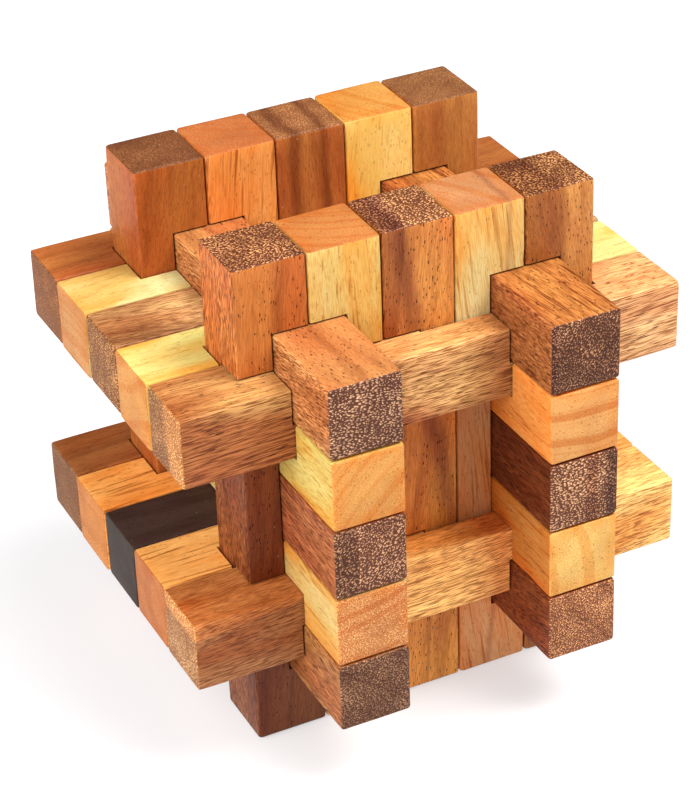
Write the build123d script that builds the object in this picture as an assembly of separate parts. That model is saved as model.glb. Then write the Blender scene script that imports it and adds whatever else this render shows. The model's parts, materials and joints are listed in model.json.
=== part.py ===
from build123d import *
import os

# Burr puzzle of thirty square rods in six layers of five.
# X runs left to right, Y runs front to back, Z is up, and the origin is under the middle of the puzzle,
# on the surface that the uprights stand on.
#
# Uprights stand in a front and a back wall, crossbars lie left to right in an upper and a lower layer,
# and bars and keys run front to back in a left and a right column.
# Each layer straddles the joint between the outer two rods of the layers that cross it,
# so every notch is half a rod deep, and all of them lie on one grid of half rod pitches, called laps.

# Driving dimensions, in millimetres
rod_width = 14.7         # side of every square rod
side_gap = 0.3           # clearance between two rods that lie side by side
notch_clearance = 0.2    # how far each notch is cut past the lap lines that bound it
end_overhang = 15.0      # how far each rod stands out past the layers that cross it
edge_easing = 0.3        # radius sanded on the edges of the blank rods, before the notches are cut

# Sizes that follow from them
pitch = rod_width + side_gap
lap = pitch / 2

# The grid, counted in laps from the middle of the puzzle
rod_numbers = (1, 2, 3, 4, 5)
middle_number = 3
layer_middle = 3         # middle of each layer, wall and column
layer_inside = 2         # its inner face
layer_outside = 4        # its outer face
layer_edge = 5           # outer face of the first and last rod in a layer

rod_length = 2 * (layer_edge * lap + end_overhang)
puzzle_middle = Vector(0, 0, rod_length / 2)

# Names of the five rods of a column, from the bottom up
column_rows = ("bottom_key", "lower_bar", "middle_key", "upper_bar", "top_key")


def place_in_layer(number):
    """Distance in laps from the middle of a layer to the middle of one of its five rods."""
    return 2 * (number - middle_number)


def outward(near, far, side):
    """Limits in laps, from near to far, on the positive or the negative side of the middle."""
    return (near, far) if side > 0 else (-far, -near)


def straight_rod(direction, x=0, y=0, z=0):
    """A blank rod along X, Y or Z with eased edges, its middle given in laps."""
    size = {"X": rod_width, "Y": rod_width, "Z": rod_width}
    size[direction] = rod_length
    rod = Box(size["X"], size["Y"], size["Z"])
    rod = fillet(rod.edges(), edge_easing)
    return Pos(puzzle_middle + Vector(x, y, z) * lap) * rod


def notch(x=None, y=None, z=None):
    """The cut between limits given in laps, opened by the notch clearance on every side.

    A direction without limits is cut right through the rod.
    """
    size = []
    middle = []
    for limits in (x, y, z):
        low, high = limits or (-layer_edge, layer_edge)
        extra = notch_clearance if limits else rod_length
        size.append((high - low) * lap + 2 * extra)
        middle.append((high + low) / 2 * lap)
    return Pos(puzzle_middle + Vector(*middle)) * Box(*size)


def turned_back(rod):
    """The same rod on the other side of the puzzle, half a turn about the vertical."""
    return Rot(0, 0, 180) * rod


def front_upright(number):
    """Upright of the front wall; every one gives half its side to the column or crossbars it meets."""
    rod = straight_rod("Z", x=place_in_layer(number), y=-layer_middle)
    if number == middle_number:
        for level in (-1, 1):
            rod -= notch(x=(-1, 0), z=outward(layer_inside, layer_outside, level))
        return rod
    side = 1 if number > middle_number else -1
    if number in (1, 5):
        column_side = outward(layer_middle, layer_outside, side)
    else:
        column_side = outward(layer_inside, layer_middle, side)
    rod -= notch(x=column_side, z=(-layer_edge, layer_edge))
    if side < 0:
        for level in (-1, 1):
            front_half = (-layer_outside, -layer_middle)
            rod -= notch(y=front_half, z=outward(layer_inside, layer_outside, level))
    return rod


def crossbar(number, level):
    """Crossbar of the front half and the middle of a layer, level 1 for the upper and -1 for the lower."""
    rod = straight_rod("X", y=place_in_layer(number), z=level * layer_middle)
    for side in (-1, 1):
        key_bed = outward(layer_inside, layer_outside, side)
        rod -= notch(x=key_bed, z=outward(layer_middle, layer_outside, level))
    if number == 1:
        for upright_side in ((0, 2), (layer_outside, layer_edge)):
            rod -= notch(x=upright_side, y=(-layer_outside, -layer_middle))
    if number == 2:
        for upright_side in ((-layer_edge, -layer_outside), (-2, -1), (0, 2), (layer_outside, layer_edge)):
            rod -= notch(x=upright_side, y=(-layer_middle, -layer_inside))
    return rod


def column_rod(row, column):
    """Rod of a column, -1 for the left and 1 for the right; keys are straight and bars carry a long notch."""
    height = place_in_layer(row)
    rod = straight_rod("Y", x=column * layer_middle, z=height)
    if "bar" in column_rows[row - 1]:
        rod -= notch(y=(-layer_edge, layer_edge), z=outward(layer_inside, layer_middle, height))
    return rod


def all_rods():
    """Every rod of the puzzle by name."""
    rods = {}
    for number in rod_numbers:
        opposite = 2 * middle_number - number
        upright = front_upright(number)
        rods[f"front_upright_{number}"] = upright
        rods[f"back_upright_{opposite}"] = turned_back(upright)
    for level, layer in ((1, "upper"), (-1, "lower")):
        for number in (1, 2):
            opposite = 2 * middle_number - number
            bar = crossbar(number, level)
            rods[f"{layer}_crossbar_{number}"] = bar
            rods[f"{layer}_crossbar_{opposite}"] = turned_back(bar)
        rods[f"{layer}_crossbar_{middle_number}"] = crossbar(middle_number, level)
    for column, side in ((-1, "left"), (1, "right")):
        for row in rod_numbers:
            rods[f"{side}_{column_rows[row - 1]}"] = column_rod(row, column)
    return rods


os.makedirs("parts", exist_ok=True)
for name, rod in all_rods().items():
    rod.label = name
    export_step(rod, f"parts/{name}.step")
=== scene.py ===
"""Burr puzzle of thirty hand-cut rods in light and dark hardwood, standing in a plain studio."""

import json
import logging
import math
import random
from dataclasses import dataclass, field, replace
from enum import Enum
from typing import Any, Iterator, Union

import bmesh
import bpy
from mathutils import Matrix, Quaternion, Vector, noise


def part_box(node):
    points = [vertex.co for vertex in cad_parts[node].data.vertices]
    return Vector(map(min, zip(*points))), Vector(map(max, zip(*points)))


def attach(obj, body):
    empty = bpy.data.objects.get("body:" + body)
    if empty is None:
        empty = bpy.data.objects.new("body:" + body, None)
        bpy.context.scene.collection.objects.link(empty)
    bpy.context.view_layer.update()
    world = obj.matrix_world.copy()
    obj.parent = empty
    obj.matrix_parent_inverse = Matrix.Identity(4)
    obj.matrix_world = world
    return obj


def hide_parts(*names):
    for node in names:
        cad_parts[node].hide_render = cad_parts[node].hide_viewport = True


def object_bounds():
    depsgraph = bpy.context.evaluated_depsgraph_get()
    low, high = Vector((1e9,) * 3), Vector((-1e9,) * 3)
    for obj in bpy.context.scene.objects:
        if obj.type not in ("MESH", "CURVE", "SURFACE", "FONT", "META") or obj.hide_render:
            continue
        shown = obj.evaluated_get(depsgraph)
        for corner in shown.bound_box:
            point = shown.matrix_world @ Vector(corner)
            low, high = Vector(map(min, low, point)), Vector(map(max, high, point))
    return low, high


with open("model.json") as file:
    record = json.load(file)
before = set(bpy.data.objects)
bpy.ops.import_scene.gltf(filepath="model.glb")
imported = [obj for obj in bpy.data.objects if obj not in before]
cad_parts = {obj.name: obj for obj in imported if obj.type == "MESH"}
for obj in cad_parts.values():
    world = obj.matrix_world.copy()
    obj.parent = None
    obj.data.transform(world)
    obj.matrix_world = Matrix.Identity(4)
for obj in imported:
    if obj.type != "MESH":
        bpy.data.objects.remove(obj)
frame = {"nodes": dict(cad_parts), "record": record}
FRAME_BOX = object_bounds()

MM = 0.001
# Lightens the eased edges: partly rubbed wear, partly a painted highlight.
EDGE_WEAR_AND_HIGHLIGHT_TINT = (1.5, 1.7, 1.9)
END_SHADE_TINT = (0.66, 0.58, 0.56)
DUST_COLOUR = (0.72, 0.6, 0.48)
SHARP_ANGLE = math.radians(40)
LOG = logging.getLogger("burr_puzzle")

Colour = tuple[float, float, float]
Input = Union["Signal", bpy.types.NodeSocket, float, tuple]


def from_display(red: int, green: int, blue: int) -> Colour:
    """Turns a display colour of 0 to 255 into the linear colour that the shaders use.

    Args:
        red: Red share.
        green: Green share.
        blue: Blue share.

    Returns:
        The linear colour.
    """
    shares = []
    for level in (red, green, blue):
        share = level / 255
        shares.append(share / 12.92 if share <= 0.04045 else ((share + 0.055) / 1.055) ** 2.4)
    return tuple(shares)


# Shader arithmetic


class Signal:
    """A number that changes over a surface; Python arithmetic on it adds the Math nodes."""

    def __init__(self, graph: "Graph", socket: bpy.types.NodeSocket) -> None:
        """Wraps one output socket of a graph."""
        self.graph = graph
        self.socket = socket

    def __add__(self, other: Input) -> "Signal":
        """Sum."""
        return self.graph.maths("ADD", self, other)

    def __radd__(self, other: Input) -> "Signal":
        """Sum, from the right."""
        return self.graph.maths("ADD", other, self)

    def __sub__(self, other: Input) -> "Signal":
        """Difference."""
        return self.graph.maths("SUBTRACT", self, other)

    def __rsub__(self, other: Input) -> "Signal":
        """Difference, from the right."""
        return self.graph.maths("SUBTRACT", other, self)

    def __mul__(self, other: Input) -> "Signal":
        """Product."""
        return self.graph.maths("MULTIPLY", self, other)

    def __rmul__(self, other: Input) -> "Signal":
        """Product, from the right."""
        return self.graph.maths("MULTIPLY", other, self)

    def __truediv__(self, other: Input) -> "Signal":
        """Quotient."""
        return self.graph.maths("DIVIDE", self, other)

    def __pow__(self, other: Input) -> "Signal":
        """Power."""
        return self.graph.maths("POWER", self, other)

    def __abs__(self) -> "Signal":
        """Size without its sign."""
        return self.graph.maths("ABSOLUTE", self)

    def least(self, other: Input) -> "Signal":
        """The smaller of the two."""
        return self.graph.maths("MINIMUM", self, other)

    def most(self, other: Input) -> "Signal":
        """The larger of the two."""
        return self.graph.maths("MAXIMUM", self, other)

    def ramp(self, low: float, high: float) -> "Signal":
        """Rises smoothly from 0 at low to 1 at high, or falls where low is the larger.

        Args:
            low: Where the result is 0.
            high: Where the result is 1.

        Returns:
            The eased share.
        """
        near, far = min(low, high), max(low, high)
        ends = (0.0, 1.0) if low < high else (1.0, 0.0)
        settings = {"interpolation_type": "SMOOTHSTEP"}
        inputs = {"Value": self, "From Min": near, "From Max": far, "To Min": ends[0], "To Max": ends[1]}
        return Signal(self.graph, self.graph.node("ShaderNodeMapRange", settings, inputs).outputs["Result"])


class Graph:
    """The node tree of one material, with one method that makes any node."""

    def __init__(self, material: bpy.types.Material) -> None:
        """Empties the material's tree and adds its output.

        Args:
            material: The material.
        """
        material.use_nodes = True
        self.tree = material.node_tree
        self.tree.nodes.clear()
        self.output = self.node("ShaderNodeOutputMaterial")

    def node(self, kind: str, settings: dict[str, Any] | None = None,
             inputs: dict[Any, Input] | None = None) -> bpy.types.ShaderNode:
        """Adds a node.

        Args:
            kind: Blender's name of the node type.
            settings: Properties of the node, set before its sockets.
            inputs: Value or link of each input socket, by name or number.

        Returns:
            The new node.
        """
        made = self.tree.nodes.new(kind)
        for name, value in (settings or {}).items():
            setattr(made, name, value)
        for name, value in (inputs or {}).items():
            self.feed(made.inputs[name], value)
        return made

    def feed(self, socket: bpy.types.NodeSocket, value: Input) -> None:
        """Links a signal or a socket to an input, or sets the input's own value.

        Args:
            socket: The input.
            value: What goes in.
        """
        if isinstance(value, Signal):
            value = value.socket
        if isinstance(value, bpy.types.NodeSocket):
            self.tree.links.new(value, socket)
        elif isinstance(value, tuple) and socket.type == "RGBA":
            socket.default_value = (*value, 1.0)
        else:
            socket.default_value = value

    def maths(self, operation: str, *values: Input) -> Signal:
        """Adds one Math node.

        Args:
            operation: Name of the operation.
            values: Its one or two values.

        Returns:
            The result.
        """
        made = self.node("ShaderNodeMath", {"operation": operation}, dict(enumerate(values)))
        return Signal(self, made.outputs["Value"])

    def vector(self, x: Input, y: Input, z: Input) -> bpy.types.NodeSocket:
        """Joins three numbers into a vector."""
        return self.node("ShaderNodeCombineXYZ", None, {"X": x, "Y": y, "Z": z}).outputs["Vector"]

    def parts(self, vector: bpy.types.NodeSocket) -> tuple[Signal, Signal, Signal]:
        """Splits a vector into its three numbers."""
        made = self.node("ShaderNodeSeparateXYZ", None, {"Vector": vector})
        return tuple(Signal(self, made.outputs[name]) for name in "XYZ")

    def blend(self, share: Input, first: Input, second: Input, mode: str = "MIX") -> bpy.types.NodeSocket:
        """Mixes two colours.

        Args:
            share: How much of the second colour.
            first: Colour at a share of 0.
            second: Colour at a share of 1.
            mode: Name of the blend mode.

        Returns:
            The mixed colour.
        """
        settings = {"data_type": "RGBA", "blend_type": mode, "clamp_factor": True}
        return self.node("ShaderNodeMix", settings, {0: share, 6: first, 7: second}).outputs[2]

    def clouds(self, place: bpy.types.NodeSocket, scale: float = 1.0, detail: float = 2.0,
               roughness: float = 0.5) -> Signal:
        """Soft noise about 0.5.

        Args:
            place: Where the noise is read.
            scale: Its scale.
            detail: Octaves.
            roughness: Share of the finer octaves.

        Returns:
            The noise.
        """
        inputs = {"Vector": place, "Scale": scale, "Detail": detail, "Roughness": roughness}
        return Signal(self, self.node("ShaderNodeTexNoise", None, inputs).outputs["Fac"])

    def bands(self, place: Signal, detail: float = 3.0, roughness: float = 0.6) -> Signal:
        """Uneven bands about 0.5 along one number.

        Args:
            place: The number, which counts bands.
            detail: Octaves.
            roughness: Share of the finer octaves.

        Returns:
            The noise.
        """
        inputs = {"W": place, "Scale": 1.0, "Detail": detail, "Roughness": roughness}
        made = self.node("ShaderNodeTexNoise", {"noise_dimensions": "1D"}, inputs)
        return Signal(self, made.outputs["Fac"])

    def spots(self, place: bpy.types.NodeSocket, dimensions: str = "3D") -> tuple[Signal, Signal]:
        """Scattered points, one to each cell of the place.

        Args:
            place: Where they are read.
            dimensions: "2D" for points that do not change with the third number.

        Returns:
            Distance to the nearest point, and a random share that belongs to that point.
        """
        settings = {"feature": "F1", "voronoi_dimensions": dimensions}
        made = self.node("ShaderNodeTexVoronoi", settings, {"Vector": place, "Scale": 1.0})
        return Signal(self, made.outputs["Distance"]), self.parts(made.outputs["Color"])[0]


# Wood


class Direction(Enum):
    """Which way a rod runs, as the row axes that lie across it, across it again, and along it."""

    LEFT_TO_RIGHT = (1, 2, 0)
    FRONT_TO_BACK = (0, 2, 1)
    UPWARD = (0, 1, 2)


@dataclass(frozen=True)
class Figure:
    """Marks that one kind of timber shows: lengths in millimetres, tints that multiply the board's colour."""

    drift: float = 0.8
    drift_warm: Colour = (0.96, 0.78, 0.7)
    drift_pale: Colour = (1.06, 1.2, 1.16)
    streaks: float = 0.7
    streak_tint: Colour = (0.6, 0.48, 0.42)
    fibres: float = 0.95
    flat_fibres: float = 0.25
    fibre_dark: Colour = (0.42, 0.32, 0.28)
    fibre_light: Colour = (1.5, 1.8, 2.2)
    fibre_length: float = 2.8
    lines: float = 0.3
    line_tint: Colour = (0.5, 0.36, 0.28)
    line_spacing: float = 0.8
    pores: float = 0.9
    pore_tint: Colour = (0.14, 0.09, 0.09)
    pore_cell: float = 0.5
    pore_length: float = 1.5
    ground: Colour = (0.45, 0.33, 0.29)
    fleck: Colour = (3.1, 3.8, 3.5)
    fleck_size: float = 0.62
    fleck_reach: float = 0.36
    mottle: float = 0.5
    rings: float = 0.3
    ring_tint: Colour = (0.66, 0.58, 0.56)
    ring_spacing: float = 2.6
    rim: float = 0.0
    rim_tint: Colour = (1.0, 0.82, 0.62)
    end_pores: float = 0.0
    # How much the edges are lightened, as wear and as painted highlight.
    edge: float = 0.25


FLECKED = Figure()
FINE_FLECKED = Figure(
    flat_fibres=0.5, fleck_size=0.5, fleck=(2.8, 3.4, 3.4), ground=(0.54, 0.42, 0.37), rings=0.7,
)
SPARSE_FLECKED = Figure(
    flat_fibres=0.6, lines=1.0, line_tint=(0.48, 0.34, 0.28), line_spacing=0.7, fleck_size=0.56,
    fleck_reach=0.33, fleck=(4.0, 5.2, 4.8), ground=(0.5, 0.4, 0.33), rings=0.5,
)
SMOOTH_BROWN = Figure(
    streaks=0.55, fibres=0.4, flat_fibres=0.5, lines=0.2, pores=0.35, ground=(0.78, 0.68, 0.6),
    fleck=(1.7, 1.9, 2.0), fleck_size=0.5,
)
DASHED = Figure(
    drift=0.6, streaks=0.5, fibres=1.0, flat_fibres=0.6, fibre_dark=(0.46, 0.34, 0.27),
    fibre_light=(1.34, 1.52, 1.7), fibre_length=5.0, pore_cell=0.42, pore_length=2.1, ground=(0.7, 0.6, 0.5),
    fleck=(2.1, 2.4, 2.5),
)
HONEY = Figure(
    drift=1.0, drift_warm=(0.9, 0.68, 0.5), drift_pale=(1.1, 1.22, 1.3), streaks=0.6,
    streak_tint=(0.72, 0.56, 0.44), fibres=1.0, flat_fibres=0.7,
    fibre_dark=(0.52, 0.39, 0.3), fibre_light=(1.32, 1.48, 1.6), fibre_length=4.0, pores=0.35,
    ground=(0.72, 0.61, 0.52), fleck=(2.0, 2.3, 2.4),
)
PALE = Figure(
    drift=1.0, drift_warm=(1.05, 0.8, 0.55), drift_pale=(1.04, 1.12, 1.3), streaks=0.6,
    streak_tint=(0.96, 0.75, 0.52), fibres=0.8, flat_fibres=0.8,
    fibre_dark=(0.9, 0.72, 0.54), fibre_light=(1.06, 1.16, 1.3), lines=0.8, line_tint=(0.66, 0.45, 0.29),
    line_spacing=0.6, pores=0.35, pore_tint=(0.4, 0.3, 0.25), pore_cell=0.8, ground=(0.98, 0.94, 0.9),
    fleck=(1.24, 1.4, 1.6), fleck_size=0.45, fleck_reach=0.3, mottle=0.25, rings=0.8,
    ring_tint=(0.94, 0.74, 0.54), end_pores=0.5, edge=0.08, rim=0.9,
)
CALM = replace(PALE, streaks=0.3, fibres=0.5, lines=0.4)
RINGED = replace(PALE, rings=1.0, ring_tint=(0.84, 0.6, 0.42), ring_spacing=3.4)
SPECKLED = Figure(
    drift=1.0, drift_warm=(1.04, 0.78, 0.54), drift_pale=(1.04, 1.12, 1.3), streaks=0.5,
    streak_tint=(0.96, 0.74, 0.5), fibres=0.6, flat_fibres=0.8,
    fibre_dark=(0.88, 0.7, 0.52), fibre_light=(1.1, 1.18, 1.26), lines=0.7, line_tint=(0.62, 0.42, 0.26),
    pores=0.35, pore_tint=(0.4, 0.3, 0.25), pore_cell=0.6, ground=(0.84, 0.72, 0.62),
    fleck=(1.5, 1.9, 2.4), fleck_size=0.46, fleck_reach=0.34, mottle=0.25, rings=0.9,
    ring_tint=(0.86, 0.64, 0.5), end_pores=0.8, edge=0.08, rim=0.9,
)
STREAKED = Figure(
    drift=0.9, drift_warm=(1.0, 0.8, 0.62), drift_pale=(1.04, 1.12, 1.2), streaks=0.7,
    streak_tint=(0.86, 0.68, 0.5), fibres=0.6, flat_fibres=0.8,
    fibre_dark=(0.82, 0.66, 0.52), fibre_light=(1.12, 1.2, 1.32), lines=0.9, line_tint=(0.46, 0.32, 0.22),
    pores=0.35, pore_tint=(0.35, 0.25, 0.2), pore_cell=0.8, ground=(0.95, 0.9, 0.82),
    fleck=(1.25, 1.45, 1.7), fleck_size=0.5, mottle=0.35, rings=0.6, ring_tint=(0.94, 0.78, 0.62),
    edge=0.1, rim=0.5,
)
MOTTLED = Figure(
    streaks=1.0, streak_tint=(0.62, 0.5, 0.46), fibres=1.0, flat_fibres=1.0, fibre_dark=(0.55, 0.45, 0.4),
    fibre_light=(1.3, 1.4, 1.5), pores=0.5, ground=(0.54, 0.42, 0.37), fleck=(2.7, 3.3, 3.3), fleck_size=0.5,
    rings=0.7,
)
CHARRED = Figure(fibres=0.5, lines=0.2, pores=0.3, ground=(0.85, 0.85, 0.85), fleck=(1.3, 1.25, 1.2))


@dataclass(frozen=True)
class Timber:
    """One board: the name of a material slot, which is not used; the display colours of its side and end
    grain, its figure, and the way to the heart of the tree from its middle, in degrees anticlockwise, where
    that matters."""

    slot: str
    side_shade: tuple[int, int, int]
    end_shade: tuple[int, int, int]
    figure: Figure = FLECKED
    heart: float | None = None

    @property
    def side(self) -> Colour:
        """Colour of side grain."""
        return from_display(*self.side_shade)

    @property
    def end(self) -> Colour:
        """Colour of end grain."""
        return from_display(*self.end_shade)


@dataclass(frozen=True)
class ToneAndShading:
    """A second tone in a board, or a patch of painted shade or painted light on the rod, past a line through
    the rod or in a band along it, in millimetres.
    """

    tint: Colour
    across: float = 0.0
    over: float = 0.0
    along: float = 0.0
    offset: float = 0.0
    band: float = 0.0
    softness: float = 0.6
    wander: float = 1.2
    ends_only: bool = False


class WoodGrain:
    """The solid grain of one rod, worked out through its whole thickness, and the finish on it."""

    def __init__(self, timber: Timber, direction: Direction, middle: Vector, half: Vector, seed: int,
                 tones_and_shading: tuple[ToneAndShading, ...] = ()) -> None:
        """Keeps what the grain depends on.

        Args:
            timber: Colours and figure.
            direction: Which way the rod runs.
            middle: Middle of the rod, in metres.
            half: Half its size along each row axis, in metres.
            seed: Number of the board.
            tones_and_shading: Second tones in the board, and patches of painted shade and painted light.
        """
        self.timber = timber
        self.direction = direction
        self.middle = middle
        self.half = half
        self.tones_and_shading = tones_and_shading
        self.rng = random.Random(seed)

    def build(self, name: str) -> bpy.types.Material:
        """Makes the material.

        Args:
            name: Its name.

        Returns:
            The material.
        """
        material = bpy.data.materials.new(name)
        self.graph = Graph(material)
        self.lay_grain()
        self.find_faces()
        colour = self.colour()
        height, roughness = self.relief()
        graph = self.graph
        bump = graph.node("ShaderNodeBump", None, {"Strength": 0.5, "Distance": 0.12 * MM, "Height": height})
        inputs = {"Base Color": colour, "Roughness": roughness, "Specular IOR Level": 0.18,
                  "Normal": bump.outputs["Normal"]}
        shader = graph.node("ShaderNodeBsdfPrincipled", None, inputs)
        graph.feed(graph.output.inputs["Surface"], shader.outputs["BSDF"])
        return material

    def lay_grain(self) -> None:
        """Finds each point's place in the rod's section and along its grain, in millimetres."""
        graph = self.graph
        rng = self.rng
        coordinates = graph.node("ShaderNodeTexCoord")
        self.normal = coordinates.outputs["Normal"]
        settings = {"operation": "SUBTRACT"}
        offset = graph.node("ShaderNodeVectorMath", settings,
                            {0: coordinates.outputs["Object"], 1: tuple(self.middle)})
        scaled = graph.node("ShaderNodeVectorMath", {"operation": "SCALE"},
                            {0: offset.outputs["Vector"], "Scale": 1 / MM})
        place = graph.parts(scaled.outputs["Vector"])
        first, second, run = self.direction.value
        self.across, self.over, self.along = place[first], place[second], place[run]
        slope = rng.uniform(-0.12, 0.12)
        rise = rng.uniform(-0.12, 0.12)
        self.start = [rng.uniform(-400, 400) for _ in range(3)]
        slow = graph.vector(self.across * 0.05 + self.start[0], self.over * 0.05 + self.start[1],
                            self.along * 0.014)
        wave = graph.clouds(slow, detail=2.0) - 0.5
        self.u = self.across + self.along * slope + wave * 5.0
        self.v = self.over + self.along * rise + wave * 4.0
        turn = rng.uniform(0, 2 * math.pi)
        if self.timber.heart is not None:
            turn = math.radians(self.timber.heart + 180)
        reach = rng.uniform(18, 60)
        heart = (self.u + reach * math.cos(turn), self.v + reach * math.sin(turn))
        self.ring_radius = (heart[0] * heart[0] + heart[1] * heart[1]) ** 0.5
        self.fleck_turn = rng.uniform(-0.9, 0.9)

    def at(self, across: float, along: Input) -> bpy.types.NodeSocket:
        """Grain coordinates with their own scale across and along the rod.

        Args:
            across: Cells per millimetre across the grain.
            along: Cells per millimetre along it.

        Returns:
            The coordinates.
        """
        x, y, z = self.start
        return self.graph.vector(self.u * across + x, self.v * across + y, self.along * along + z)

    def find_faces(self) -> None:
        """Finds the end grain, the fibrous faces and the eased edges."""
        first, second, run = self.direction.value
        facing = self.graph.parts(self.normal)
        self.on_end = abs(facing[run]).ramp(0.3, 0.65)
        self.fibrous = abs(facing[first]).ramp(0.4, 0.9)
        half = self.half / MM
        side = (abs(self.across) - half[first]).most(abs(self.over) - half[second])
        inner = (abs(self.across) - half[first]).least(abs(self.over) - half[second])
        tip = abs(self.along) - half[run]
        depth = inner.most(side.least(tip))
        self.on_edge = depth.ramp(-0.7, -0.15)
        self.on_rim = depth.ramp(-4.0, -0.3)

    def colour(self) -> bpy.types.NodeSocket:
        """Colour of the wood on side grain and end grain, with edges lightened by wear and by painted
        highlight, and with second tones and patches of painted shade and painted light included.

        Returns:
            The colour.
        """
        graph = self.graph
        figure = self.timber.figure
        self.fibre = graph.clouds(self.at(5.2, 1 / figure.fibre_length), detail=2.0, roughness=0.5)
        self.pore_mask = self.pore_pattern()
        colour = graph.blend(self.on_end, self.side_grain(), self.end_grain())
        rim = graph.clouds(self.at(0.12, 0.05), detail=1.0).ramp(0.4, 0.56)
        colour = self.tinted(colour, self.on_rim * rim * figure.rim, figure.rim_tint)
        for tone_and_shading in self.tones_and_shading:
            colour = self.tinted(colour, self.reach_of(tone_and_shading), tone_and_shading.tint)
        dust, _ = graph.spots(self.at(0.24, 0.24))
        colour = graph.blend(dust.ramp(0.045, 0.025) * 0.2, colour, DUST_COLOUR)
        # Edges lightened in patches: partly rubbed wear, partly a painted highlight.
        wear = graph.clouds(self.at(0.7, 0.25)).ramp(0.35, 0.65)
        return self.tinted(colour, self.on_edge * wear * figure.edge, EDGE_WEAR_AND_HIGHLIGHT_TINT)

    def tinted(self, colour: Input, share: Input, tint: Colour) -> bpy.types.NodeSocket:
        """Multiplies a colour by a tint.

        Args:
            colour: The colour.
            share: How much of the tint.
            tint: The tint.

        Returns:
            The tinted colour.
        """
        return self.graph.blend(share, colour, tint, "MULTIPLY")

    def side_grain(self) -> bpy.types.NodeSocket:
        """Streaks, growth lines, fibres and pore dashes of the four long faces.

        Returns:
            Colour of the side grain.
        """
        graph = self.graph
        figure = self.timber.figure
        flat_strength = figure.fibres * figure.flat_fibres
        strength = self.fibrous * (figure.fibres * (1 - figure.flat_fibres)) + flat_strength
        streaks = graph.clouds(self.at(0.3, 0.02), detail=3.0, roughness=0.6).ramp(0.42, 0.68)
        lines = graph.clouds(self.at(1 / figure.line_spacing, 0.045), detail=2.0).ramp(0.56, 0.68)
        drift = graph.clouds(self.at(0.11, 0.03), detail=1.0)
        colour = self.tinted(self.timber.side, drift.ramp(0.49, 0.64) * figure.drift, figure.drift_pale)
        colour = self.tinted(colour, drift.ramp(0.51, 0.36) * figure.drift, figure.drift_warm)
        colour = self.tinted(colour, streaks * figure.streaks, figure.streak_tint)
        colour = self.tinted(colour, lines * figure.lines, figure.line_tint)
        colour = self.tinted(colour, self.fibre.ramp(0.49, 0.59) * strength, figure.fibre_light)
        colour = self.tinted(colour, self.fibre.ramp(0.51, 0.4) * strength, figure.fibre_dark)
        return self.tinted(colour, self.pore_mask * figure.pores, figure.pore_tint)

    def end_grain(self) -> bpy.types.NodeSocket:
        """Ground, growth rings, pale flecks and pores of the sawn ends.

        Returns:
            Colour of the end grain.
        """
        graph = self.graph
        figure = self.timber.figure
        mottle = graph.clouds(self.at(0.16, 0.05), detail=3.0).ramp(0.4, 0.64)
        rings = graph.bands(self.ring_radius / figure.ring_spacing + self.start[1]).ramp(0.47, 0.62)
        grit = graph.clouds(self.at(3.4, 0.3), detail=2.0, roughness=0.7)
        colour = self.tinted(self.timber.end, 1.0, figure.ground)
        share = self.fleck_pattern()
        colour = graph.blend(share, colour, tuple(a * b for a, b in zip(self.timber.end, figure.fleck)))
        colour = self.tinted(colour, mottle * figure.mottle, END_SHADE_TINT)
        colour = self.tinted(colour, rings * figure.rings, figure.ring_tint)
        colour = self.tinted(colour, grit.ramp(0.5, 0.34) * 0.35, END_SHADE_TINT)
        return self.tinted(colour, self.pore_mask * figure.end_pores, figure.pore_tint)

    def pore_pattern(self) -> Signal:
        """Open vessels: short dashes on flat faces, longer ones on fibrous faces.

        Returns:
            Share of pore at each point.
        """
        graph = self.graph
        figure = self.timber.figure
        pace = 1 / figure.pore_length - self.fibrous * (0.45 / figure.pore_length)
        nearness, chance = graph.spots(self.at(1 / figure.pore_cell, pace))
        crowd = graph.clouds(self.at(0.22, 0.03), detail=1.0).ramp(0.2, 0.5)
        return (chance * crowd * 0.2 + 0.12 - nearness).ramp(0.0, 0.07)

    def fleck_pattern(self) -> Signal:
        """Pale flecks round the vessels of end grain, longer one way, bright and faint ones mixed.

        Returns:
            Share of fleck at each point.
        """
        graph = self.graph
        figure = self.timber.figure
        bend = (graph.clouds(self.at(0.45, 0.02), detail=1.0) - 0.5) * 1.6
        swing = self.fleck_turn
        fine = 1 / figure.fleck_size
        longways = self.u * (fine * math.cos(swing)) + self.v * (fine * math.sin(swing)) + bend
        sideways = self.v * (1.6 * fine * math.cos(swing)) - self.u * (1.6 * fine * math.sin(swing)) - bend
        nearness, chance = graph.spots(graph.vector(longways, sideways, 0.0), "2D")
        crowd = graph.clouds(self.at(0.14, 0.02), detail=2.0).ramp(0.3, 0.62) * 0.14
        share = (chance * 0.16 + (figure.fleck_reach - 0.08) - crowd - nearness).ramp(-0.08, 0.08)
        return share * (chance * 0.55 + 0.45)

    def reach_of(self, tone_and_shading: ToneAndShading) -> Signal:
        """Share of a second tone, or of a patch of painted shading, at a point of the rod.

        Args:
            tone_and_shading: The second tone or patch of painted shading.

        Returns:
            How much of it shows there.
        """
        slow = self.graph.vector(self.across * 0.08, self.over * 0.08, self.along * 0.03 + self.start[2])
        wave = (self.graph.clouds(slow) - 0.5) * (4 * tone_and_shading.wander)
        reach = self.across * tone_and_shading.across + self.over * tone_and_shading.over + self.along * tone_and_shading.along + wave
        share = reach.ramp(tone_and_shading.offset - tone_and_shading.softness, tone_and_shading.offset + tone_and_shading.softness)
        if tone_and_shading.band:
            far = tone_and_shading.offset + tone_and_shading.band
            share = share * reach.ramp(far + tone_and_shading.softness, far - tone_and_shading.softness)
        return share * self.on_end if tone_and_shading.ends_only else share

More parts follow.
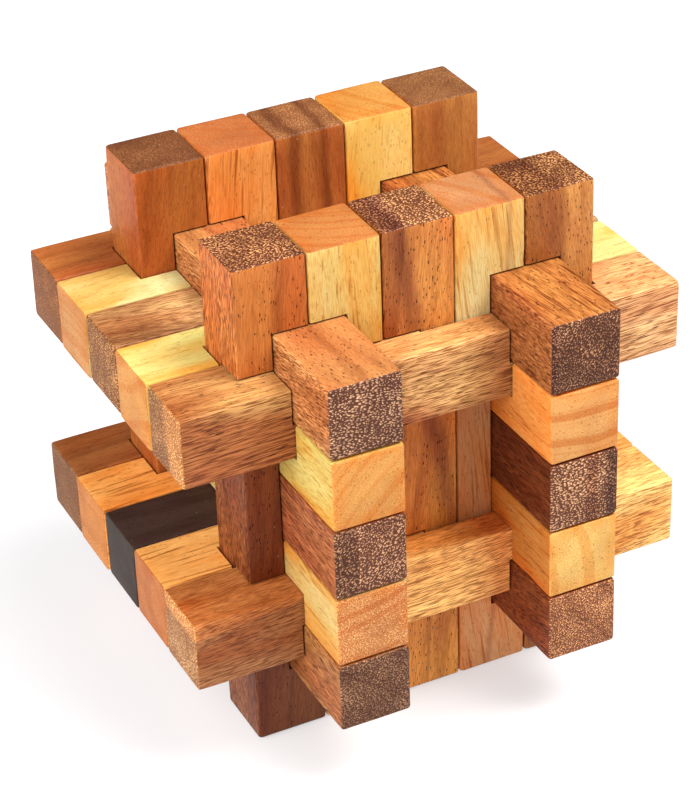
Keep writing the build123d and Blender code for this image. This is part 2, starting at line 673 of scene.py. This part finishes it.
    def relief(self) -> tuple[Signal, Signal]:
        """How uneven and how dull the surface is.

        Returns:
            Its height for the bump, and its roughness.
        """
        height = 1 - self.pore_mask * (0.7 * self.timber.figure.pores) + self.fibre * 0.35
        roughness = 0.5 + self.pore_mask * 0.25 + self.on_end * 0.12 - self.on_edge * 0.08
        return height, roughness


# Rods


@dataclass(frozen=True)
class Cut:
    """How a rod was sawn and sanded by hand; lengths in millimetres."""

    station: float = 2.6
    edge_radius: float = 0.42
    edge_spread: float = 0.16
    tip_wear: float = 0.3
    tip_length: float = 2.0
    corner_steps: int = 3
    face_stops: tuple[float, ...] = (-0.92, -0.45, 0.0, 0.45, 0.92)
    wave: float = 0.025
    least_skin: float = 0.02
    most_skin: float = 0.06
    most_trim: float = 0.35
    chips: int = 5
    chip_depth: float = 0.55
    chip_length: float = 1.3
    least_radius: float = 0.15
    end_tilt: float = 0.012
    face_margin: float = 1.1


@dataclass
class Rod:
    """One rod of the puzzle: its own board, sawn blank, notches and finish."""

    node: str
    direction: Direction
    timber: Timber
    seed: int
    tones_and_shading: tuple[ToneAndShading, ...] = ()
    cut: Cut = field(default_factory=Cut)

    def build(self, body: str) -> bpy.types.Object:
        """Makes the rod, dresses it and puts it in place of its plain node.

        Args:
            body: The moving body that the rod belongs to.

        Returns:
            The finished object.
        """
        self.low, self.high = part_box(self.node)
        self.rng = random.Random(self.seed * 97 + 13)
        mesh = self.saw_blank()
        piece = bpy.data.objects.new(f"{self.node}_rod", mesh)
        bpy.context.scene.collection.objects.link(piece)
        self.cut_notches(piece)
        middle = (Vector(self.low) + Vector(self.high)) / 2
        half = (Vector(self.high) - Vector(self.low)) / 2
        grain = WoodGrain(self.timber, self.direction, middle, half, self.seed, self.tones_and_shading)
        piece.data.materials.clear()
        piece.data.materials.append(grain.build(f"{self.node}_wood"))
        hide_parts(self.node)
        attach(piece, body)
        return piece

    def stations(self) -> list[tuple[float, float]]:
        """Places along the rod with how far the section draws in there, ends rounded over.

        Returns:
            Pairs of distance from the middle and inset, in metres.
        """
        run = self.direction.value[2]
        reach = (self.high[run] - self.low[run]) / 2
        cut = self.cut
        ends = []
        for sign in (-1, 1):
            trim = self.rng.uniform(0.03, cut.most_trim) * MM
            radius = cut.edge_radius * MM * self.rng.uniform(0.8, 1.2)
            tip = reach - trim
            rounded = []
            for step in range(cut.corner_steps + 1):
                angle = math.pi / 2 * step / cut.corner_steps
                place = tip - radius * (1 - math.sin(angle))
                rounded.append((sign * place, radius * (1 - math.cos(angle))))
            ends.append(rounded)
        first = ends[0][::-1]
        last = ends[1]
        start, stop = first[-1][0], last[0][0]
        count = round((stop - start) / (cut.station * MM))
        inner = [(start + (stop - start) * step / count, 0.0) for step in range(1, count)]
        return first + inner + last

    def section(self, place: float, inset: float, chips: list[tuple[int, float, float]],
                skins: list[float]) -> list[tuple[float, float]]:
        """Outline of the rod's section at one place along it.

        Args:
            place: Distance from the rod's middle, in metres.
            inset: How far the outline draws in, in metres.
            chips: Corner, place and depth of each worn spot.
            skins: What was planed off each of the four sides, in metres.

        Returns:
            Points across and over, anticlockwise, in metres.
        """
        first, second, run = self.direction.value
        half = ((self.high[first] - self.low[first]) / 2, (self.high[second] - self.low[second]) / 2)
        cut = self.cut
        run_reach = (self.high[run] - self.low[run]) / 2
        tip = math.exp(-(run_reach - abs(place)) / (cut.tip_length * MM))
        points = []
        for corner in range(4):
            wear = noise.noise(Vector((place * 90, corner * 7.3, self.seed * 3.1)))
            radius = (cut.edge_radius + cut.edge_spread * wear + cut.tip_wear * tip) * MM
            for chipped, spot, depth in chips:
                if chipped == corner:
                    radius += depth * math.exp(-((place - spot) / (cut.chip_length * MM)) ** 2)
            towards = ((1, 1), (-1, 1), (-1, -1), (1, -1))[corner]
            skin_across = skins[0 if towards[0] > 0 else 2]
            skin_over = skins[1 if towards[1] > 0 else 3]
            reach = (half[0] - skin_across - inset, half[1] - skin_over - inset)
            radius = max(radius - inset * 0.5, cut.least_radius * MM)
            centre = (towards[0] * (reach[0] - radius), towards[1] * (reach[1] - radius))
            for step in range(cut.corner_steps + 1):
                angle = math.pi / 2 * (corner + step / cut.corner_steps)
                points.append((centre[0] + radius * math.cos(angle), centre[1] + radius * math.sin(angle)))
            points.extend(self.face_points(corner, place, reach, half, skins, inset))
        return points

    def face_points(self, corner: int, place: float, reach: tuple[float, float], half: tuple[float, float],
                    skins: list[float], inset: float) -> Iterator[tuple[float, float]]:
        """Points on the flat side that follows a corner, a little uneven as hand planing leaves it.

        Args:
            corner: Number of the corner.
            place: Distance along the rod from its middle.
            reach: Half size of the section at that corner; not used.
            half: Half size of the plain rod.
            skins: What was planed off each side.
            inset: How far the outline draws in.

        Yields:
            Points across and over, in metres.
        """
        side = (corner + 1) % 4
        margin = self.cut.face_margin * MM
        for stop in self.cut.face_stops:
            ripple = noise.noise(Vector((place * 35, stop * 1.7 + side * 9.1, self.seed * 1.9)))
            drop = self.cut.wave * MM * (0.5 + 0.5 * ripple)
            if side in (0, 2):
                sign = 1 if side == 0 else -1
                yield (sign * (half[0] - skins[side] - inset - drop), sign * stop * (half[1] - margin))
            else:
                sign = 1 if side == 1 else -1
                yield (-sign * stop * (half[0] - margin), sign * (half[1] - skins[side] - inset - drop))

    def saw_blank(self) -> bpy.types.Mesh:
        """Makes the straight blank with eased, slightly worn edges.

        Returns:
            The blank's mesh, in the row frame.
        """
        rng = self.rng
        cut = self.cut
        first, second, run = self.direction.value
        middle = [(self.low[axis] + self.high[axis]) / 2 for axis in range(3)]
        stations = self.stations()
        reach = abs(stations[0][0])
        chips = []
        for _ in range(cut.chips):
            depth = rng.uniform(0.3, 1.0) * cut.chip_depth * MM
            chips.append((rng.randrange(4), rng.uniform(-reach, reach), depth))
        skins = [rng.uniform(cut.least_skin, cut.most_skin) * MM for _ in range(4)]
        tilt = (rng.uniform(-cut.end_tilt, cut.end_tilt), rng.uniform(-cut.end_tilt, cut.end_tilt))
        built = bmesh.new()
        loops = []
        for place, inset in stations:
            loop = []
            near_end = max(0.0, 1 - (reach - abs(place)) / (8 * MM))
            for across, over in self.section(place, inset, chips, skins):
                skew = -abs(across * tilt[0] + over * tilt[1]) * near_end * math.copysign(1, place)
                spot = [0.0, 0.0, 0.0]
                spot[first] = middle[first] + across
                spot[second] = middle[second] + over
                spot[run] = middle[run] + place + skew
                loop.append(built.verts.new(spot))
            loops.append(loop)
        for before, after in zip(loops, loops[1:]):
            count = len(before)
            for index in range(count):
                following = (index + 1) % count
                built.faces.new((before[index], before[following], after[following], after[index]))
        built.faces.new(loops[0][::-1])
        built.faces.new(loops[-1])
        bmesh.ops.recalc_face_normals(built, faces=built.faces)
        mesh = bpy.data.meshes.new(f"{self.node}_blank")
        built.to_mesh(mesh)
        built.free()
        return mesh

    def cut_notches(self, piece: bpy.types.Object) -> None:
        """Cuts the notches of the node out of the blank, by keeping what the two have in common.

        Args:
            piece: The blank, which becomes the notched rod.
        """
        template = bpy.data.objects.new("template", frame["nodes"][self.node].data.copy())
        bpy.context.scene.collection.objects.link(template)
        shaped = bmesh.new()
        shaped.from_mesh(template.data)
        bmesh.ops.remove_doubles(shaped, verts=shaped.verts, dist=0.001 * MM)
        shaped.to_mesh(template.data)
        shaped.free()
        common = piece.modifiers.new("notches", "BOOLEAN")
        common.operation = "INTERSECT"
        common.solver = "EXACT"
        common.object = template
        bpy.context.view_layer.update()
        result = piece.evaluated_get(bpy.context.evaluated_depsgraph_get())
        mesh = bpy.data.meshes.new_from_object(result)
        piece.modifiers.remove(common)
        piece.data = mesh
        bpy.data.objects.remove(template)
        self.soften(mesh)

    def soften(self, mesh: bpy.types.Mesh) -> None:
        """Shades the faces smooth and keeps the sawn edges of notches sharp.

        Args:
            mesh: The rod's mesh.
        """
        shaped = bmesh.new()
        shaped.from_mesh(mesh)
        bmesh.ops.dissolve_degenerate(shaped, edges=shaped.edges, dist=0.002 * MM)
        for face in shaped.faces:
            face.smooth = True
        for edge in shaped.edges:
            edge.smooth = len(edge.link_faces) == 2 and edge.calc_face_angle(0) < SHARP_ANGLE
        shaped.to_mesh(mesh)
        shaped.free()


# Sub-assemblies


def body_of(node: str) -> str:
    """Name of the body that a node moves with.

    Args:
        node: Name of the node.

    Returns:
        Name of the body.
    """
    bodies = frame["record"]["behaviour"]["bodies"]
    return next(body for body, nodes in bodies.items() if node in nodes)


@dataclass
class Layer:
    """Five rods side by side, light and dark in turn."""

    nodes: tuple[str, ...]
    direction: Direction
    first_seed: int
    boards: tuple[Timber, ...]

    def tones_and_painted_shading(self) -> dict[int, tuple[ToneAndShading, ...]]:
        """Second tones of the boards, and patches of painted shade and painted light, by place in the layer.

        Returns:
            The tones and any painted shade and light, for boards that have any.
        """
        return {}

    def build(self) -> list[bpy.types.Object]:
        """Makes the five rods.

        Returns:
            The rods.
        """
        rods = []
        tones_and_shading = self.tones_and_painted_shading()
        for index, (node, board) in enumerate(zip(self.nodes, self.boards)):
            rod = Rod(node, self.direction, board, self.first_seed + index, tones_and_shading.get(index, ()))
            piece = rod.build(body_of(node))
            LOG.info("%s: %d faces", piece.name, len(piece.data.polygons))
            rods.append(piece)
        return rods


def numbered(name: str) -> tuple[str, ...]:
    """The five nodes of a layer whose names end in a number."""
    return tuple(f"{name}_{number}" for number in range(1, 6))


def column(side: str) -> tuple[str, ...]:
    """The five nodes of a column, from the top down."""
    rows = ("top_key", "upper_bar", "middle_key", "lower_bar", "bottom_key")
    return tuple(f"{side}_{row}" for row in rows)


@dataclass
class FrontWall(Layer):
    """The five uprights in front."""

    nodes: tuple[str, ...] = numbered("front_upright")
    direction: Direction = Direction.UPWARD
    first_seed: int = 100
    boards: tuple[Timber, ...] = (
        Timber("red_brown_wood", (180, 100, 45), (135, 85, 55)),
        Timber("light_tan_wood", (206, 177, 103), (174, 110, 56), PALE),
        Timber("two_tone_wood", (200, 124, 60), (156, 105, 70)),
        Timber("light_tan_wood", (210, 187, 124), (176, 120, 76), PALE),
        Timber("red_brown_wood", (190, 120, 60), (145, 95, 60)),
    )

    def tones_and_painted_shading(self) -> dict[int, tuple[ToneAndShading, ...]]:
        """Second tones of the boards and patches of painted shade, by place in the layer.

        Returns:
            The tones and painted shade, for boards that have any.
        """
        return {
            # First upright: the first tone is painted shade over the lower part of the upright, the second
            # lightens it again at the foot, and the third is painted shade on the front face, deeper towards
            # the bottom.
            0: (ToneAndShading((0.48, 0.4, 0.48), along=-1, offset=-20, softness=3),
                ToneAndShading((0.95, 1.25, 1.4), along=-1, offset=30, softness=3),
                ToneAndShading((0.72, 0.62, 0.62), over=-1, along=-0.1, offset=7.0, softness=1.0)),
            2: (ToneAndShading((0.56, 0.44, 0.42), across=-1, along=0.1, offset=7.9),
                ToneAndShading((1.25, 1.3, 1.1), along=-1, offset=-20, softness=3),
                ToneAndShading((0.6, 0.5, 0.62), across=1, along=0.14, offset=1.6, band=3.4, softness=1.6)),
            # Fourth upright: the first tone darkens the lower part, partly the board's own colour and partly
            # painted shade; the second lightens it again at the foot.
            3: (ToneAndShading((0.8, 0.47, 0.46), along=-1, offset=-20, softness=3),
                ToneAndShading((1.25, 1.22, 1.15), along=-1, offset=28, softness=3),
                ToneAndShading((0.7, 0.62, 0.66), across=-1, along=0.05, offset=-2.6, band=1.0, softness=0.7,
                     wander=0.8)),
            4: (ToneAndShading((0.6, 0.5, 0.44), across=-1, offset=-0.6, softness=1.0),),
        }


@dataclass
class BackWall(Layer):
    """The five uprights at the back."""

    nodes: tuple[str, ...] = numbered("back_upright")
    direction: Direction = Direction.UPWARD
    first_seed: int = 200
    boards: tuple[Timber, ...] = (
        Timber("red_brown_wood", (160, 85, 35), (115, 70, 40), SMOOTH_BROWN),
        Timber("streaked_tan_wood", (220, 145, 75), (165, 95, 50), STREAKED),
        Timber("red_brown_wood", (164, 91, 42), (137, 88, 52), SMOOTH_BROWN),
        Timber("yellow_wood", (230, 192, 106), (185, 132, 64), CALM),
        Timber("mid_brown_wood", (170, 100, 45), (130, 85, 50), SMOOTH_BROWN),
    )

    def tones_and_painted_shading(self) -> dict[int, tuple[ToneAndShading, ...]]:
        """Second tones of the boards, by place in the layer.

        Returns:
            The tones, for boards that have any.
        """
        return {
            2: (ToneAndShading((0.56, 0.46, 0.42), across=-1, offset=2.4, band=2.6, softness=1.0),
                ToneAndShading((0.6, 0.5, 0.46), across=-1, offset=-3.6, band=1.4, softness=0.8)),
            3: (ToneAndShading((0.96, 0.84, 0.66), across=-1, softness=5),),
        }


@dataclass
class UpperLayer(Layer):
    """The five upper crossbars, from front to back."""

    nodes: tuple[str, ...] = numbered("upper_crossbar")
    direction: Direction = Direction.LEFT_TO_RIGHT
    first_seed: int = 300
    boards: tuple[Timber, ...] = (
        Timber("mid_brown_wood", (190, 136, 80), (236, 206, 136), DASHED),
        Timber("yellow_wood", (215, 200, 117), (188, 142, 78), CALM),
        Timber("dark_brown_wood", (186, 137, 87), (174, 124, 75), MOTTLED),
        Timber("light_tan_wood", (190, 175, 114), (182, 129, 76), CALM),
        Timber("orange_brown_wood", (162, 90, 42), (128, 81, 46), SMOOTH_BROWN),
    )

    def tones_and_painted_shading(self) -> dict[int, tuple[ToneAndShading, ...]]:
        """Second tones of the boards and patches of painted shade, by place in the layer.

        Returns:
            The tones and painted shade, for boards that have any.
        """
        return {
            0: (ToneAndShading((0.62, 0.38, 0.32), over=-1.2, along=-0.35, offset=7, softness=3, wander=2),
                ToneAndShading((1.3, 1.36, 1.45), along=1, offset=-9, band=14, softness=4, wander=2),
                # Painted shade on the stretch beside the right column, redder as well as darker.
                ToneAndShading((0.74, 0.56, 0.54), along=1, offset=9, band=12, softness=5, wander=2),
                ToneAndShading((1.5, 1.6, 2.0), along=1, offset=26, softness=6, wander=3),
                ToneAndShading((0.4, 0.3, 0.26), along=1, offset=26, ends_only=True),
                ToneAndShading((1.0, 0.96, 0.9), over=1, offset=6.2, softness=0.8, wander=0.2),
                ToneAndShading((0.52, 0.5, 0.5), across=1, offset=-0.5, softness=1.2, wander=1.2, ends_only=True)),
            1: (ToneAndShading((1.0, 0.84, 0.76), along=-1, offset=44, softness=5, wander=2),),
            # Painted shade on the part of the bar left of the uprights.
            2: (ToneAndShading((0.66, 0.58, 0.54), along=-1, offset=38, softness=5, wander=4),),
        }


@dataclass
class LowerLayer(Layer):
    """The five lower crossbars, from front to back."""

    nodes: tuple[str, ...] = numbered("lower_crossbar")
    direction: Direction = Direction.LEFT_TO_RIGHT
    first_seed: int = 400
    boards: tuple[Timber, ...] = (
        Timber("mid_brown_wood", (235, 170, 95), (175, 140, 100), HONEY),
        Timber("streaked_tan_wood", (245, 178, 98), (170, 104, 58), STREAKED),
        Timber("black_brown_wood", (65, 45, 40), (60, 50, 45), CHARRED),
        Timber("streaked_tan_wood", (245, 176, 94), (182, 117, 61), STREAKED),
        Timber("mid_brown_wood", (155, 92, 47), (122, 82, 51), SMOOTH_BROWN),
    )

    def tones_and_painted_shading(self) -> dict[int, tuple[ToneAndShading, ...]]:
        """Second tones of the boards and patches of painted light and shade, by place in the layer.

        Returns:
            The tones and painted light and shade, for boards that have any.
        """
        return {0: (ToneAndShading((0.34, 0.25, 0.28), along=-1, offset=16, softness=5, wander=5),
                     ToneAndShading((2.45, 2.7, 2.1), along=-1, offset=16, softness=5, wander=5, ends_only=True),
                     # Painted light: the top face made lighter towards the left end.
                     ToneAndShading((1.55, 1.4, 1.12), over=1, along=-0.1, offset=9.2, softness=0.6, wander=0.1),
                     ToneAndShading((1.15, 1.2, 1.2), along=1, offset=-9, band=12, softness=4, wander=2),
                     # Painted shade on the stretch beside the right column, redder as well as darker.
                     ToneAndShading((0.8, 0.56, 0.5), along=1, offset=9, band=12, softness=5, wander=2),
                     ToneAndShading((1.1, 1.2, 1.22), along=1, offset=26, softness=5, wander=2),
                     ToneAndShading((0.66, 0.48, 0.38), along=1, offset=26, ends_only=True))}


@dataclass
class LeftColumn(Layer):
    """Keys and bars of the left column, from the top down."""

    nodes: tuple[str, ...] = column("left")
    direction: Direction = Direction.FRONT_TO_BACK
    first_seed: int = 500
    boards: tuple[Timber, ...] = (
        Timber("orange_brown_wood", (175, 110, 60), (130, 90, 70)),
        Timber("yellow_wood", (190, 165, 85), (205, 145, 75), PALE),
        Timber("red_brown_wood", (147, 78, 42), (135, 91, 69)),
        Timber("light_tan_wood", (194, 161, 95), (200, 137, 80), SPECKLED, heart=95),
        Timber("dark_brown_wood", (149, 89, 44), (113, 77, 56), FINE_FLECKED),
    )

    def tones_and_painted_shading(self) -> dict[int, tuple[ToneAndShading, ...]]:
        """Second tones of the boards, by place in the layer.

        Returns:
            The tones, for boards that have any.
        """
        return {2: (ToneAndShading((0.7, 0.68, 0.66), across=-1, offset=2.4, softness=0.2, wander=0.3, ends_only=True),
                     ToneAndShading((1.8, 2.0, 2.2), across=-1, offset=2.2, band=0.3, softness=0.15, wander=0.3,
                          ends_only=True))}


@dataclass
class RightColumn(Layer):
    """Keys and bars of the right column, from the top down."""

    nodes: tuple[str, ...] = column("right")
    direction: Direction = Direction.FRONT_TO_BACK
    first_seed: int = 600
    boards: tuple[Timber, ...] = (
        Timber("orange_brown_wood", (168, 100, 46), (110, 69, 50), SPARSE_FLECKED),
        Timber("light_tan_wood", (220, 140, 65), (208, 150, 86), RINGED, heart=80),
        Timber("dark_brown_wood", (100, 45, 20), (145, 100, 75)),
        Timber("light_tan_wood", (185, 120, 55), (215, 170, 95), PALE),
        Timber("dark_brown_wood", (120, 55, 25), (160, 105, 70), FINE_FLECKED),
    )

    def tones_and_painted_shading(self) -> dict[int, tuple[ToneAndShading, ...]]:
        """Second tones of the boards and painted shade, by place in the layer.

        Returns:
            The tones and painted shade, for boards that have any.
        """
        return {
            # Painted shade on the left face of the top key.
            0: (ToneAndShading((0.72, 0.62, 0.76), across=-1, offset=6.4, softness=0.8, wander=0.3),),
            2: (ToneAndShading((0.8, 0.66, 0.6), across=1, offset=0.6, band=2.2, softness=0.4, wander=0.3,
                     ends_only=True),
                ToneAndShading((0.5, 0.46, 0.46), across=1, offset=4.6, wander=0.6, ends_only=True)),
        }


# Studio


@dataclass
class Studio:
    """Plain pale floor, soft light and the camera."""

    floor_size: float = 8.0
    azimuth: float = -25.49
    elevation: float = 31.17
    distance: float = 0.522
    lens: float = 117.4
    roll: float = -2.11
    aim: tuple[float, float, float] = (-0.0008, 0.0, -0.0005)

    def build(self) -> None:
        """Makes floor, light and camera."""
        low, high = FRAME_BOX
        self.centre = (Vector(low) + Vector(high)) / 2
        self.ground = low[2]
        self.lay_floor()
        self.light()
        self.place_camera()

    def lay_floor(self) -> None:
        """Lays the floor under the puzzle."""
        built = bmesh.new()
        bmesh.ops.create_grid(built, x_segments=1, y_segments=1, size=self.floor_size / 2)
        mesh = bpy.data.meshes.new("studio_floor")
        built.to_mesh(mesh)
        built.free()
        floor = bpy.data.objects.new("studio_floor", mesh)
        floor.location = (0, 0, self.ground)
        bpy.context.scene.collection.objects.link(floor)
        material = bpy.data.materials.new("pale_floor")
        graph = Graph(material)
        inputs = {"Base Color": (0.45, 0.45, 0.46), "Roughness": 0.7, "Specular IOR Level": 0.1,
                  "Emission Color": (1.0, 0.99, 0.99), "Emission Strength": 0.5}
        shader = graph.node("ShaderNodeBsdfPrincipled", None, inputs)
        graph.feed(graph.output.inputs["Surface"], shader.outputs["BSDF"])
        mesh.materials.append(material)

    def light(self) -> None:
        """Sets a faint surround, a key light high on the right, and a large softer one on the left."""
        world = bpy.data.worlds.new("surround")
        world.use_nodes = True
        bpy.context.scene.world = world
        background = world.node_tree.nodes["Background"]
        background.inputs["Color"].default_value = (0.97, 0.98, 1.0, 1.0)
        background.inputs["Strength"].default_value = 0.1
        self.area_light("key", azimuth=50, elevation=62, distance=1.2, size=0.7, power=23)
        self.area_light("fill", azimuth=-72, elevation=33, distance=1.2, size=1.4, power=28)

    def area_light(self, name: str, azimuth: float, elevation: float, distance: float, size: float,
                   power: float) -> None:
        """Adds one square light that faces the puzzle.

        Args:
            name: Its name.
            azimuth: Where it stands round the puzzle, in degrees, 0 in front and -90 on the left.
            elevation: Its height above the puzzle, in degrees.
            distance: How far away it is.
            size: Side of the square.
            power: Its power in watts.
        """
        lamp = bpy.data.lights.new(name, "AREA")
        lamp.shape = "SQUARE"
        lamp.size = size
        lamp.energy = power
        away = self.away(azimuth, elevation)
        holder = bpy.data.objects.new(name, lamp)
        holder.location = self.centre + away * distance
        holder.rotation_mode = "QUATERNION"
        holder.rotation_quaternion = away.to_track_quat("Z", "Y")
        bpy.context.scene.collection.objects.link(holder)

    def away(self, azimuth: float, elevation: float) -> Vector:
        """Unit vector from the puzzle towards a place round it."""
        turn, rise = math.radians(azimuth), math.radians(elevation)
        return Vector((math.sin(turn) * math.cos(rise), -math.cos(turn) * math.cos(rise), math.sin(rise)))

    def place_camera(self) -> None:
        """Stands the camera in front, above and to the left, slightly tilted."""
        lens = bpy.data.cameras.new("camera")
        lens.lens = self.lens
        lens.sensor_width = 36.0
        camera = bpy.data.objects.new("camera", lens)
        away = self.away(self.azimuth, self.elevation)
        camera.location = self.centre + away * self.distance
        target = self.centre + Vector(self.aim)
        facing = (camera.location - target).to_track_quat("Z", "Y")
        camera.rotation_mode = "QUATERNION"
        camera.rotation_quaternion = facing @ Quaternion((0, 0, 1), math.radians(self.roll))
        bpy.context.scene.collection.objects.link(camera)
        bpy.context.scene.camera = camera


def main() -> None:
    """Builds the studio and the six layers of rods, and reports each piece."""
    logging.basicConfig(level=logging.INFO, format="%(message)s")
    bpy.context.scene.view_settings.view_transform = "Standard"
    Studio().build()
    for layer in (FrontWall(), BackWall(), UpperLayer(), LowerLayer(), LeftColumn(), RightColumn()):
        layer.build()


if __name__ == "__main__":
    main()
